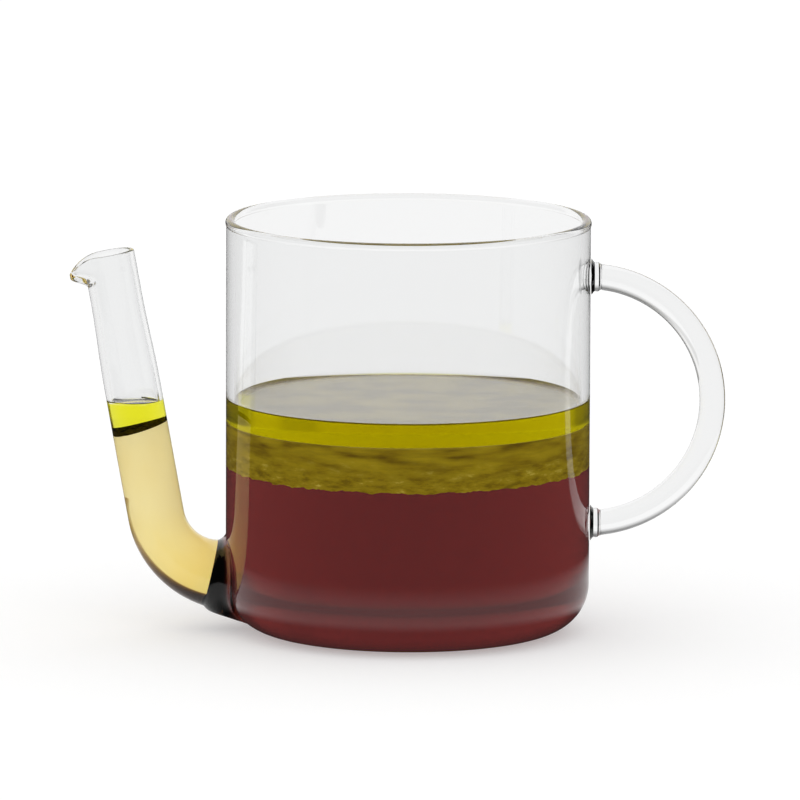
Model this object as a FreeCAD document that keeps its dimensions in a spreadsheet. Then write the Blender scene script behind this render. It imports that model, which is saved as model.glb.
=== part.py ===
"""Glass gravy fat separator: a jug with a low spout and a rod handle, filled with gravy and fat.

Millimetres. +Z is up, the origin is the centre of the base on the jug's axis, the spout points
along -X and the handle along +X. Every piece is symmetric about the XZ plane.
"""
import FreeCAD, Part

import math
import os

import Sketcher
from FreeCAD import Placement, Rotation, Vector

doc = FreeCAD.newDocument("gravy_fat_separator")

# The driving dimensions, in millimetres and degrees.
SIZES = {
    "jug_radius": 57.5,
    "jug_height": 131.3,
    "jug_wall": 2.6,
    "base_thickness": 3.2,
    "base_corner": 15.0,
    "rim_bead": 1.5,
    "rim_proud": 0.25,
    "spout_height": 119.9,
    "spout_lean": 10.25,
    "spout_bend": 23.0,
    "spout_wall": 1.6,
    "mouth_radius": 8.2,
    "spout_radius": 8.9,
    "root_radius": 10.7,
    "root_run": 4.7,
    "port_radius": 11.5,
    "port_height": 16.6,
    "port_slope": 13.0,
    "weld_radius": 13.3,
    "weld_length": 14.0,
    "weld_fillet": 1.3,
    "weld_clearance": 0.8,
    "lip_reach": 5.0,
    "lip_depth": 9.7,
    "lip_curl": 3.6,
    "lip_width": 29.0,
    "lip_roll": 11.8,
    "lip_start": 4.0,
    "handle_drop": 57.8,
    "handle_radius": 39.4,
    "handle_sink": 0.7,
    "rod_radius": 4.05,
    "collar_length": 3.6,
    "collar_foot": 0.36,
    "ridge_start": 1.26,
    "ridge_end": 2.7,
    "collar_step": 0.55,
    "collar_root": 1.6,
    "gravy_level": 52.9,
    "emulsion_level": 66.6,
    "fat_level": 74.4,
    "spout_fat_level": 73.0,
    "cream_level": 63.8,
    "cream_slant": 17.8,
    "film_rise": 1.7,
    "film_side": 0.9,
}

sheet = doc.addObject("Spreadsheet::Sheet", "sizes")
for row, (alias, number) in enumerate(SIZES.items(), start=1):
    sheet.set(f"A{row}", alias)
    sheet.set(f"B{row}", str(number))
    sheet.setAlias(f"B{row}", alias)
doc.recompute()


def size(alias):
    """The value of one cell of the sheet."""
    return float(sheet.get(alias))


# Tools that cut or trim reach this far past the piece that they work on.
PAST = 20.0

jug_radius = size("jug_radius")
jug_height = size("jug_height")
inner_radius = jug_radius - size("jug_wall")
floor_height = size("base_thickness")
base_corner = size("base_corner")
inner_corner = base_corner - size("jug_wall")
handle_rise = jug_height - size("handle_drop")


def line(sketch, start, end):
    """Adds a straight edge to a sketch and returns its index."""
    return sketch.addGeometry(Part.LineSegment(Vector(*start, 0), Vector(*end, 0)))


def arc(sketch, centre, radius, first, last):
    """Adds an arc, anticlockwise from angle first to last in degrees, and returns its index."""
    circle = Part.Circle(Vector(*centre, 0), Vector(0, 0, 1), radius)
    edge = Part.ArcOfCircle(circle, math.radians(first), math.radians(last))
    return sketch.addGeometry(edge)


# The places on an edge that a constraint names, and the sketch's own origin.
START, END, CENTRE = 1, 2, 3
ORIGIN = (-1, 1)


def fix(sketch, kind, *where):
    """Adds a constraint that has no value, such as Coincident or Tangent."""
    sketch.addConstraint(Sketcher.Constraint(kind, *where))


def bind(sketch, kind, where, value, formula):
    """Adds a constraint that follows the sheet: value starts it, formula keeps it."""
    index = sketch.addConstraint(Sketcher.Constraint(kind, *where, value))
    sketch.setExpression(f"Constraints[{index}]", formula)


def new_body(label, plane_role):
    """A new body, with an empty sketch on one of its own planes."""
    body = doc.addObject("PartDesign::Body", label)
    plane = [item for item in body.Origin.OriginFeatures if item.Role == plane_role][0]
    sketch = body.newObject("Sketcher::SketchObject", label + "_profile")
    sketch.AttachmentSupport = [(plane, "")]
    sketch.MapMode = "FlatFace"
    return body, sketch


def revolve(body, sketch):
    """Turns a body's profile once round the sketch's vertical axis."""
    turned = body.newObject("PartDesign::Revolution", body.Label + "_turned")
    turned.Profile = sketch
    turned.ReferenceAxis = (sketch, ["V_Axis"])
    turned.Angle = 360.0
    body.Tip = turned
    return body


def close_loop(sketch, edges):
    """Joins a closed run of straight edges end to end."""
    for edge, following in zip(edges, edges[1:] + edges[:1]):
        fix(sketch, "Coincident", edge, END, following, START)


def placed(item, placement):
    """Sets an object's placement and returns the object."""
    item.Placement = placement
    return item


def boolean(kind, label, base, tool):
    """A Part::Cut or Part::Common of two objects."""
    result = doc.addObject(kind, label)
    result.Base = base
    result.Tool = tool
    return result


def cut(label, base, tool):
    """What is left of base outside tool."""
    return boolean("Part::Cut", label, base, tool)


def common(label, base, tool):
    """What base and tool share."""
    return boolean("Part::Common", label, base, tool)


def fuse(label, *items):
    """Several touching objects as one solid."""
    result = doc.addObject("Part::MultiFuse", label)
    result.Shapes = list(items)
    result.Refine = True
    return result


def block(label, low, high, placement=None):
    """A box between two corners, given in the frame of its placement."""
    item = doc.addObject("Part::Box", label)
    item.Length, item.Width, item.Height = [b - a for a, b in zip(low, high)]
    item.Placement = (placement or Placement()) * Placement(Vector(*low), Rotation())
    return item


def cylinder(label, radius_formula, length, placement):
    """A cylinder along its placement's own Z axis, whose radius follows the sheet."""
    item = doc.addObject("Part::Cylinder", label)
    item.setExpression("Radius", radius_formula)
    item.Height = length
    return placed(item, placement)


# The jug: one half of its section, turned about the vertical axis.

def outer_foot(sketch):
    """The base and the rounded bottom corner of the jug's outside, from the axis outwards."""
    base = line(sketch, (0, 0), (jug_radius - base_corner, 0))
    corner = arc(sketch, (jug_radius - base_corner, base_corner), base_corner, 270, 360)
    fix(sketch, "Coincident", base, START, *ORIGIN)
    fix(sketch, "Horizontal", base)
    fix(sketch, "Tangent", base, END, corner, START)
    bind(sketch, "Radius", (corner,), base_corner, "sizes.base_corner")
    return base, corner


def inner_foot(sketch):
    """The floor and the rounded corner of the jug's inside, from the axis outwards."""
    floor = line(sketch, (0, floor_height), (inner_radius - inner_corner, floor_height))
    centre = (inner_radius - inner_corner, floor_height + inner_corner)
    corner = arc(sketch, centre, inner_corner, 270, 360)
    fix(sketch, "Horizontal", floor)
    fix(sketch, "Tangent", floor, END, corner, START)
    bind(sketch, "Radius", (corner,), inner_corner, "sizes.base_corner - sizes.jug_wall")
    bind(sketch, "DistanceY", (*ORIGIN, floor, START), floor_height, "sizes.base_thickness")
    return floor, corner


def wall_above(sketch, corner, radius, low, high, formula):
    """A wall that rises from the end of a corner arc, at a radius that follows the sheet."""
    wall = line(sketch, (radius, low), (radius, high))
    fix(sketch, "Vertical", wall)
    fix(sketch, "Tangent", corner, END, wall, START)
    bind(sketch, "DistanceX", (*ORIGIN, wall, START), radius, formula)
    return wall


def lid_and_axis(sketch, foot, wall, radius, top, low, formula):
    """Closes a solid of revolution with a flat top at a height and the axis."""
    lid = line(sketch, (radius, top), (0, top))
    axis = line(sketch, (0, top), (0, low))
    fix(sketch, "Coincident", wall, END, lid, START)
    fix(sketch, "Coincident", lid, END, axis, START)
    fix(sketch, "Coincident", axis, END, foot, START)
    fix(sketch, "Horizontal", lid)
    fix(sketch, "Vertical", axis)
    bind(sketch, "DistanceY", (*ORIGIN, lid, END), top, formula)


def jug_shell():
    """The whole glass jug before the spout's port is opened."""
    body, sketch = new_body("jug_shell", "XZ_Plane")
    bead = size("rim_bead")
    proud = size("rim_proud")
    bead_x = jug_radius + proud - bead
    bead_z = jug_height - bead
    outer_turn = math.degrees(math.acos((jug_radius - bead_x) / bead))
    inner_turn = math.degrees(math.acos((bead_x - inner_radius) / bead))
    outer_top = bead_z - bead * math.sin(math.radians(outer_turn))
    inner_top = bead_z - bead * math.sin(math.radians(inner_turn))

    base, outer_corner = outer_foot(sketch)
    floor, floor_corner = inner_foot(sketch)
    outside = wall_above(sketch, outer_corner, jug_radius, base_corner, outer_top,
                         "sizes.jug_radius")
    inside = wall_above(sketch, floor_corner, inner_radius, floor_height + inner_corner,
                        inner_top, "sizes.jug_radius - sizes.jug_wall")
    rim = arc(sketch, (bead_x, bead_z), bead, -outer_turn, 180 + inner_turn)
    axis = line(sketch, (0, floor_height), (0, 0))
    fix(sketch, "Coincident", outside, END, rim, START)
    fix(sketch, "Coincident", inside, END, rim, END)
    fix(sketch, "Coincident", floor, START, axis, START)
    fix(sketch, "Coincident", axis, END, base, START)
    fix(sketch, "Vertical", axis)
    bind(sketch, "Radius", (rim,), bead, "sizes.rim_bead")
    bind(sketch, "DistanceX", (*ORIGIN, rim, CENTRE), bead_x,
         "sizes.jug_radius + sizes.rim_proud - sizes.rim_bead")
    bind(sketch, "DistanceY", (*ORIGIN, rim, CENTRE), bead_z,
         "sizes.jug_height - sizes.rim_bead")
    return revolve(body, sketch)


def jug_outside(label):
    """The jug's outer form as a full solid, to seat what is fused onto its wall."""
    body, sketch = new_body(label, "XZ_Plane")
    base, corner = outer_foot(sketch)
    wall = wall_above(sketch, corner, jug_radius, base_corner, jug_height, "sizes.jug_radius")
    lid_and_axis(sketch, base, wall, jug_radius, jug_height, 0, "sizes.jug_height")
    return revolve(body, sketch)


def jug_inside(label, level):
    """The jug's inside as a full solid, filled up to the height that a cell names."""
    body, sketch = new_body(label, "XZ_Plane")
    floor, corner = inner_foot(sketch)
    wall = wall_above(sketch, corner, inner_radius, floor_height + inner_corner, size(level),
                      "sizes.jug_radius - sizes.jug_wall")
    lid_and_axis(sketch, floor, wall, inner_radius, size(level), floor_height, "sizes." + level)
    return revolve(body, sketch)


def layer(label, low, high):
    """A round slab of liquid that fills the jug between the levels that two cells name."""
    body, sketch = new_body(label, "XY_Plane")
    sketch.setExpression("AttachmentOffset.Base.z", "sizes." + low)
    disc = sketch.addGeometry(Part.Circle(Vector(), Vector(0, 0, 1), inner_radius))
    fix(sketch, "Coincident", disc, CENTRE, *ORIGIN)
    bind(sketch, "Radius", (disc,), inner_radius, "sizes.jug_radius - sizes.jug_wall")
    slab = body.newObject("PartDesign::Pad", label + "_slab")
    slab.Profile = sketch
    slab.setExpression("Length", f"sizes.{high} - sizes.{low}")
    body.Tip = slab
    return body


# The spout's centreline: out of the port, round the bend and straight up to the mouth.
slope = math.radians(size("port_slope"))
lean = math.radians(size("spout_lean"))
into_jug = Vector(math.cos(slope), 0, -math.sin(slope))
port_up = Vector(math.sin(slope), 0, math.cos(slope))
up_spout = Vector(-math.sin(lean), 0, math.cos(lean))
out_of_bend = Vector(-math.cos(lean), 0, -math.sin(lean))

port_point = Vector(-jug_radius, 0, size("port_height"))
bend_end = port_point - into_jug * size("root_run")
bend_centre = bend_end + port_up * size("spout_bend")
bend_start = bend_centre + out_of_bend * size("spout_bend")
mouth_run = (size("spout_height") - bend_start.z) / math.cos(lean)
mouth_point = bend_start + up_spout * mouth_run
lip_base = mouth_point - up_spout * size("lip_depth")

PORT = Placement(bend_end, Rotation(Vector(0, 0, 1), into_jug))
MOUTH = Placement(mouth_point, Rotation(Vector(0, 1, 0), -size("spout_lean")))
ALONG_Y = Rotation(Vector(1, 0, 0), -90)


def bend_path():
    """The centreline of the spout's bend, from its straight stem to the flared root."""
    path = doc.addObject("Sketcher::SketchObject", "bend_path")
    path.Placement = Placement(Vector(), Rotation(Vector(1, 0, 0), 90))
    first = 180 + size("spout_lean")
    last = 270 - size("port_slope")
    bend = arc(path, (bend_centre.x, bend_centre.z), size("spout_bend"), first, last)
    bind(path, "Radius", (bend,), size("spout_bend"), "sizes.spout_bend")
    bind(path, "DistanceX", (bend, END, *ORIGIN), -bend_end.x,
         "sizes.jug_radius + sizes.root_run * cos(sizes.port_slope * 1 deg)")
    bind(path, "DistanceY", (*ORIGIN, bend, END), bend_end.z,
         "sizes.port_height + sizes.root_run * sin(sizes.port_slope * 1 deg)")
    bind(path, "DistanceY", (bend, END, bend, CENTRE), bend_centre.z - bend_end.z,
         "sizes.spout_bend * cos(sizes.port_slope * 1 deg)")
    bind(path, "DistanceX", (bend, START, bend, CENTRE), bend_centre.x - bend_start.x,
         "sizes.spout_bend * cos(sizes.spout_lean * 1 deg)")
    return path


def along_spout(label, path, wall_formula):
    """The spout's straight stem and its bend as one round solid that swells towards its root."""
    stem = doc.addObject("Part::Cone", label + "_stem")
    stem.setExpression("Radius1", "sizes.spout_radius" + wall_formula)
    stem.setExpression("Radius2", "sizes.mouth_radius" + wall_formula)
    stem.Height = (lip_base - bend_start).Length
    placed(stem, Placement(bend_start, MOUTH.Rotation))
    rings = []
    for radius, place, heading in (("spout_radius", bend_start, -up_spout),
                                   ("root_radius", bend_end, into_jug)):
        ring = doc.addObject("Part::Circle", f"{label}_{radius}")
        ring.setExpression("Radius", f"sizes.{radius}{wall_formula}")
        rings.append(placed(ring, Placement(place, Rotation(Vector(0, 0, 1), heading))))
    bend = doc.addObject("Part::Sweep", label + "_bend")
    bend.Sections = rings
    bend.Spine = (path, [])
    bend.Solid = True
    return fuse(label, stem, bend)


def lip_loft(label, thickness):
    """The mouth's outer form, or its bore one wall thickness in, before the rim is trimmed.

    It starts as the tube's own circle and a nose grows out of the side away from the jug.
    """
    depth = size("lip_depth")
    top = size("lip_start")
    layers = 7
    directions = 32
    rings = []
    for step in range(layers + 1):
        rise = -depth + (depth + top) * step / layers
        grown = (rise - thickness + depth) / size("lip_curl")
        grown = min(max(grown, 0.0), 1.0)
        nose = size("lip_reach") * grown * grown * (3 - 2 * grown)
        points = []
        for turn in range(directions):
            angle = 2 * math.pi * turn / directions
            off_nose = math.degrees(abs(angle - math.pi)) / size("lip_width")
            radius = size("mouth_radius") - thickness + nose * math.exp(-off_nose ** 2)
            points.append(Vector(radius * math.cos(angle), radius * math.sin(angle), rise))
        curve = Part.BSplineCurve()
        curve.interpolate(Points=points, PeriodicFlag=True)
        ring = doc.addObject("Part::Feature", f"{label}_ring_{step}")
        ring.Shape = Part.Wire([curve.toShape()])
        rings.append(placed(ring, MOUTH))
    loft = doc.addObject("Part::Loft", label)
    loft.Sections = rings
    loft.Solid = True
    return loft


def below_rim():
    """What lies under the mouth's rim: flat by the jug, rolling down towards the lip."""
    roll = size("lip_roll")
    start = -size("lip_start")
    under = -(size("lip_depth") + PAST)
    flat = block("rim_flat", (start, -PAST, under), (PAST, PAST, 0), MOUTH)
    foot = block("rim_foot", (start - roll, -PAST, under), (start, PAST, -roll), MOUTH)
    turn = MOUTH * Placement(Vector(start, -PAST, -roll), ALONG_Y)
    return fuse("below_rim", flat, foot, cylinder("rim_roll", "sizes.lip_roll", 2 * PAST, turn))


def weld_flare():
    """The flared ring of fused glass round the port, turned about the port's axis."""
    body, sketch = new_body("weld_flare", "XZ_Plane")
    root = size("root_radius")
    fillet = size("weld_fillet")
    wide = size("weld_radius")
    long = size("weld_length")
    inner = line(sketch, (0, 0), (root, 0))
    curve = arc(sketch, (root + fillet, 0), fillet, 90, 180)
    cone = line(sketch, (root + fillet, fillet), (wide, long))
    end = line(sketch, (wide, long), (0, long))
    axis = line(sketch, (0, long), (0, 0))
    fix(sketch, "Coincident", inner, START, *ORIGIN)
    fix(sketch, "Coincident", inner, END, curve, END)
    fix(sketch, "Coincident", curve, START, cone, START)
    fix(sketch, "Coincident", cone, END, end, START)
    fix(sketch, "Coincident", end, END, axis, START)
    fix(sketch, "Coincident", axis, END, inner, START)
    fix(sketch, "Horizontal", inner)
    fix(sketch, "Horizontal", end)
    fix(sketch, "Vertical", axis)
    bind(sketch, "DistanceX", (*ORIGIN, inner, END), root, "sizes.root_radius")
    bind(sketch, "DistanceX", (*ORIGIN, curve, CENTRE), root + fillet,
         "sizes.root_radius + sizes.weld_fillet")
    fix(sketch, "Horizontal", curve, CENTRE, *ORIGIN)
    fix(sketch, "Vertical", curve, CENTRE, curve, START)
    bind(sketch, "DistanceX", (*ORIGIN, cone, END), wide, "sizes.weld_radius")
    bind(sketch, "DistanceY", (*ORIGIN, cone, END), long, "sizes.weld_length")
    return placed(revolve(body, sketch), PORT)


def handle_rod():
    """The round glass rod, half a ring in the XZ plane, with its two ends cut off square."""
    ring = doc.addObject("Part::Torus", "handle_ring")
    ring.setExpression("Radius1", "sizes.handle_radius")
    ring.setExpression("Radius2", "sizes.rod_radius")
    ring.Angle3 = 180
    centre = Vector(jug_radius - size("handle_sink"), 0, handle_rise)
    upright = Rotation(Vector(0, 0, -1), Vector(1, 0, 0), Vector(0, -1, 0), "XYZ")
    placed(ring, Placement(centre, upright))
    tall = size("handle_radius") + PAST
    end = jug_radius + size("collar_length")
    inside = block("handle_ends", (0, -PAST, centre.z - tall), (end, PAST, centre.z + tall))
    return cut("handle_rod", ring, inside)


def collar(label, side):
    """The fused glass between the wall and one end of the rod: a foot, a ridge and a step."""
    body, sketch = new_body(label + "_turned", "XZ_Plane")
    rod = size("rod_radius")
    step = size("collar_step")
    foot = size("collar_root")
    long = size("collar_length")
    seat = -size("jug_wall")
    wide = "sizes.rod_radius + sizes.collar_root"
    ridge = "sizes.rod_radius + sizes.collar_step"
    profile = [
        (0, seat, "0", "-sizes.jug_wall"),
        (rod + foot, seat, wide, "-sizes.jug_wall"),
        (rod + foot, size("collar_foot"), wide, "sizes.collar_foot"),
        (rod + step, size("ridge_start"), ridge, "sizes.ridge_start"),
        (rod + step, size("ridge_end"), ridge, "sizes.ridge_end"),
        (rod, long, "sizes.rod_radius", "sizes.collar_length"),
        (0, long, "0", "sizes.collar_length"),
    ]
    edges = []
    for corner, following in zip(profile, profile[1:] + profile[:1]):
        edges.append(line(sketch, corner[:2], following[:2]))
    close_loop(sketch, edges)
    for edge, (across, height, across_formula, height_formula) in zip(edges, profile):
        bind(sketch, "DistanceX", (*ORIGIN, edge, START), across, across_formula)
        bind(sketch, "DistanceY", (*ORIGIN, edge, START), height, height_formula)
    middle = size("handle_sink") + long / 2
    offset = math.sqrt(size("handle_radius") ** 2 - middle ** 2)
    seat_point = Vector(jug_radius, 0, handle_rise + side * offset)
    revolve(body, sketch)
    placed(body, Placement(seat_point, Rotation(Vector(0, 0, 1), Vector(1, 0, 0))))
    return body


# Glass.
shell = jug_shell()
outside = jug_outside("jug_outside")
hollow = jug_inside("jug_hollow", "jug_height")

port_plug = cylinder("port_plug", "sizes.port_radius", size("weld_length"), PORT)
jug_body = cut("jug_body", shell, port_plug)

path = bend_path()
tube_outside = along_spout("tube_outside", path, "")
tube_bore = along_spout("tube_bore", path, " - sizes.spout_wall")
lip = common("lip_trimmed", lip_loft("lip_outside", 0.0), below_rim())
lip_bore = lip_loft("lip_bore", size("spout_wall"))
spout_blank = fuse("spout_blank", tube_outside, lip)
spout_hollow = fuse("spout_hollow", tube_bore, lip_bore)
spout_tube = cut("spout_tube", spout_blank, spout_hollow)

port_bore = cylinder("port_bore", "sizes.root_radius - sizes.spout_wall",
                     size("weld_length") + size("spout_wall"), PORT)
above_table = block("above_table", (-2 * jug_radius, -jug_radius, size("weld_clearance")),
                    (0, jug_radius, jug_height))
flare = common("flare_clear", cut("flare_seated", weld_flare(), outside), above_table)
plug_wall = common("plug_in_wall", port_plug, shell)
spout_weld = cut("spout_weld", fuse("weld_blank", flare, plug_wall), port_bore)

handle_rod_piece = handle_rod()
handle_welds = [
    cut("handle_upper_weld", collar("handle_upper_weld", 1), outside),
    cut("handle_lower_weld", collar("handle_lower_weld", -1), outside),
]

# What is in the jug.
gravy = jug_inside("gravy", "gravy_level")
emulsion_band = layer("emulsion_band", "gravy_level", "emulsion_level")
fat_layer = layer("fat_layer", "emulsion_level", "fat_level")

# What is in the spout: fat above a slanted face, cream below it, and gravy along the outside
# of the bend and in the port.
above_fat = block("above_spout_fat", (-2 * jug_radius, -PAST, size("spout_fat_level")),
                  (0, PAST, 2 * jug_height))
cream_run = (size("cream_level") - bend_start.z) / math.cos(lean)
cream_top = Placement(bend_start + up_spout * cream_run,
                      Rotation(Vector(0, 1, 0), -size("cream_slant")))
above_cream = block("above_cream", (-3 * PAST, -PAST, 0), (3 * PAST, PAST, jug_height), cream_top)

film_centre = bend_centre + Vector(size("film_side"), 0, size("film_rise"))
film_block = block("film_block", (-2 * jug_radius, -PAST, 0), (0, PAST, film_centre.z))
film_turn = Placement(film_centre - Vector(0, 2 * PAST, 0), ALONG_Y)
film_inside = cylinder("film_inside", "sizes.spout_bend + sizes.spout_radius - sizes.spout_wall",
                       4 * PAST, film_turn)
film_region = cut("film_region", film_block, film_inside)

spout_fat = cut("spout_fat", common("fat_column", tube_bore, above_cream), above_fat)
cream_column = cut("cream_column", tube_bore, above_cream)
spout_cream = cut("spout_cream", cream_column, film_region)
film = common("gravy_film", tube_bore, film_region)
spout_gravy = fuse("spout_gravy", film, cut("gravy_in_port", port_bore, hollow))

PIECES = [
    jug_body,
    spout_tube,
    spout_weld,
    handle_rod_piece,
    *handle_welds,
    gravy,
    emulsion_band,
    fat_layer,
    spout_gravy,
    spout_cream,
    spout_fat,
]

doc.recompute()

for item in doc.Objects:
    if "Invalid" in item.State or "Error" in item.State:
        raise RuntimeError(f"{item.Label} failed: {item.State}")
for piece in PIECES:
    shape = piece.Shape
    if shape.isNull() or not shape.isValid():
        raise RuntimeError(f"{piece.Label} has no valid shape")
    if len(shape.Solids) != 1:
        raise RuntimeError(f"{piece.Label} is {len(shape.Solids)} solids")
    print(f"{piece.Label}: {shape.Volume / 1000:.2f} ml")

os.makedirs("parts", exist_ok=True)
for piece in PIECES:
    piece.Shape.exportStep(f"parts/{piece.Label}.step")
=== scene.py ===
# %% [markdown]
# A clear glass gravy separator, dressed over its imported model. The glass is flame-worked: one blown
# jug, one bent tube and one bent rod, fused where they meet. What sells it is how light goes through,
# so every wall of glass and every liquid is a closed mesh of its own.

# %% Load the frame
import math
import random

import bpy
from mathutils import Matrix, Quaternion, Vector, noise as field


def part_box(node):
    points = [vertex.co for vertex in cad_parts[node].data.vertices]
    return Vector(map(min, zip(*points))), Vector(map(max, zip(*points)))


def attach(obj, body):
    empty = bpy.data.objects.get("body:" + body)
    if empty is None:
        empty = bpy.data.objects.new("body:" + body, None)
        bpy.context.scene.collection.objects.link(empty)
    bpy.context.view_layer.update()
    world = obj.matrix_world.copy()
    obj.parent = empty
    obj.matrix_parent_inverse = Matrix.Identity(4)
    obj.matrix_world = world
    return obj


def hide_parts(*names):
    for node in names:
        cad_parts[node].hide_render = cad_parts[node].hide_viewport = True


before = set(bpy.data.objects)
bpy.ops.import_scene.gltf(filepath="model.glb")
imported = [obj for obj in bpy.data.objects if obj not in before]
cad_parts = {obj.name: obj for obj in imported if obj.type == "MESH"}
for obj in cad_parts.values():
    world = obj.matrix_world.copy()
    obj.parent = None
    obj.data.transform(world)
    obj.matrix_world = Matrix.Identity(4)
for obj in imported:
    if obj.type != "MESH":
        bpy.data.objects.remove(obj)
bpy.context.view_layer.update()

# %% [markdown]
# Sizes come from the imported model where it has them. The jug's node gives its radius and height, and
# the liquids' nodes give their levels. The rest are the glassworker's own dimensions, in metres.

# %% Sizes from the frame
MM = 0.001

jug_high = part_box("jug_body")[1]
gravy_low, gravy_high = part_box("gravy")
emulsion_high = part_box("emulsion_band")[1]
fat_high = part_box("fat_layer")[1]
spout_fat_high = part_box("spout_fat")[1]

rim_proud = 0.25 * MM
jug_radius = jug_high[1] - rim_proud
jug_height = jug_high[2]
inner_radius = gravy_high[1]
floor_height = gravy_low[2]
wall = jug_radius - inner_radius
gravy_level = gravy_high[2]
emulsion_level = emulsion_high[2]
fat_level = fat_high[2]
spout_fat_level = spout_fat_high[2]
print("jug radius", round(jug_radius, 5), "wall", round(wall, 5), "levels", gravy_level, fat_level)

# %% [markdown]
# The spout is one glass tube with a flared root, a bend and a straight stem that leans out a little.
# Its centreline is one arc and one line, so each ring of the tube is known by a centre, a tilt and a
# radius. A tilt is measured from straight up towards the handle, so the spout's tilts are negative.

# %% Spout sizes and centreline
spout_height = 119.9 * MM
spout_lean = math.radians(10.25)
spout_bend = 23.0 * MM
spout_wall = 1.6 * MM
mouth_radius = 8.2 * MM
stem_radius = 8.9 * MM
root_radius = 10.7 * MM
root_run = 4.7 * MM
port_height = 16.6 * MM
port_slope = math.radians(13.0)

into_jug = Vector((math.cos(port_slope), 0, -math.sin(port_slope)))
port_up = Vector((math.sin(port_slope), 0, math.cos(port_slope)))
up_spout = Vector((-math.sin(spout_lean), 0, math.cos(spout_lean)))
root_point = Vector((-jug_radius, 0, port_height)) - into_jug * root_run
bend_centre = root_point + port_up * spout_bend
bend_top = bend_centre + Vector((-math.cos(spout_lean), 0, -math.sin(spout_lean))) * spout_bend
stem_length = (spout_height - bend_top.z) / math.cos(spout_lean)
mouth_point = bend_top + up_spout * stem_length
root_tilt = port_slope - math.pi / 2
print("root", root_point, "mouth", mouth_point)

# %% [markdown]
# Everything here is turned or drawn from a section, the way glass is worked: the jug on a lathe, the
# tube and the rod along a line. So the helpers do those two things with the same tools that a modeller
# uses by hand. One extrudes a point along a profile and spins it; the other extrudes a ring, and moves,
# turns and scales it at each stop.

# %% Helpers for selecting and for edit mode
SHARP_EDGE = math.radians(35)


def deselect_all():
    """Leaves edit mode and drops every selection, so that the next operator sees one piece."""
    if bpy.context.object and bpy.context.object.mode == "EDIT":
        bpy.ops.object.mode_set(mode="OBJECT")
    bpy.ops.object.select_all(action="DESELECT")


def pick(piece):
    """Makes one piece the active one, and the only one selected."""
    deselect_all()
    bpy.context.view_layer.objects.active = piece
    piece.select_set(True)


def edit(piece):
    """Opens one piece in edit mode with all of it selected."""
    pick(piece)
    bpy.ops.object.mode_set(mode="EDIT")
    bpy.ops.mesh.select_mode(type="VERT")
    bpy.ops.mesh.select_all(action="SELECT")


def close_up(piece):
    """Welds doubled points, turns the faces outwards and leaves edit mode."""
    edit(piece)
    bpy.ops.mesh.remove_doubles(threshold=MM / 1000)
    bpy.ops.mesh.normals_make_consistent(inside=False)
    bpy.ops.object.mode_set(mode="OBJECT")


def shift(piece, step):
    """Moves a piece's points, so that its origin stays in place."""
    edit(piece)
    bpy.ops.transform.translate(value=step)
    bpy.ops.object.mode_set(mode="OBJECT")


def smooth(piece):
    """Shades a piece smooth, apart from its sharp edges."""
    pick(piece)
    bpy.ops.object.shade_smooth_by_angle(angle=SHARP_EDGE)


deselect_all()

# %% Helpers for turned and drawn glass
def round_corner(centre, radius, first, last, steps):
    """Points (radius, height) on an arc of a profile, between two angles in degrees."""
    turns = [math.radians(first + (last - first) * step / steps) for step in range(steps + 1)]
    return [(centre[0] + radius * math.cos(turn), centre[1] + radius * math.sin(turn))
            for turn in turns]


def lathe(name, profile, segments):
    """Draws a profile of (radius, height) by extruding a point along it, then spins it round Z."""
    deselect_all()
    bpy.ops.mesh.primitive_plane_add(size=MM)
    piece = bpy.context.object
    piece.name = name
    edit(piece)
    bpy.ops.mesh.merge(type="CENTER")
    bpy.ops.transform.translate(value=(profile[0][0], 0, profile[0][1]))
    for (radius, height), (next_radius, next_height) in zip(profile, profile[1:]):
        step = (next_radius - radius, 0, next_height - height)
        bpy.ops.mesh.extrude_vertices_move(TRANSFORM_OT_translate={"value": step})
    bpy.ops.mesh.select_all(action="SELECT")
    bpy.ops.mesh.spin(steps=segments, angle=2 * math.pi, center=(0, 0, 0), axis=(0, 0, 1))
    close_up(piece)
    return piece


def start_ring(name, segments, centre, tilt, radius):
    """Adds one ring of points, tilted from upright, and opens it in edit mode."""
    deselect_all()
    bpy.ops.mesh.primitive_circle_add(vertices=segments, radius=radius, location=centre,
                                      rotation=(0, tilt, 0))
    piece = bpy.context.object
    piece.name = name
    bpy.ops.object.transform_apply(location=True, rotation=True, scale=True)
    edit(piece)
    return piece


def draw_tube(name, stops, segments):
    """Extrudes a ring from stop to stop. A stop is a centre, a tilt from upright and a radius."""
    piece = start_ring(name, segments, *stops[0])
    for (centre, tilt, radius), (next_centre, next_tilt, next_radius) in zip(stops, stops[1:]):
        step = next_centre - centre
        bpy.ops.mesh.extrude_region_move(TRANSFORM_OT_translate={"value": step})
        if next_tilt != tilt:
            bpy.ops.transform.rotate(value=tilt - next_tilt, orient_axis="Y",
                                     orient_type="GLOBAL", center_override=next_centre)
        if next_radius != radius:
            bpy.ops.transform.resize(value=(next_radius / radius,) * 3,
                                     center_override=next_centre)
    return piece


def close_ends(piece):
    """Fills the open ends of a drawn piece."""
    bpy.ops.mesh.select_all(action="SELECT")
    bpy.ops.mesh.fill_holes(sides=0)
    close_up(piece)


def carve(piece, cutter, operation="DIFFERENCE"):
    """Applies an exact boolean to a piece."""
    modifier = piece.modifiers.new("carve", "BOOLEAN")
    modifier.object = cutter
    modifier.operation = operation
    modifier.solver = "EXACT"
    pick(piece)
    bpy.ops.object.modifier_apply(modifier=modifier.name)


def slice_off(piece, point, normal):
    """Cuts away what lies on the side of a plane that its normal points to, and closes the cut."""
    edit(piece)
    bpy.ops.mesh.bisect(plane_co=point, plane_no=normal, use_fill=True, clear_outer=True)
    close_up(piece)


def discard(*pieces):
    """Deletes tools that a piece no longer needs."""
    for piece in pieces:
        bpy.data.objects.remove(piece)


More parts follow.
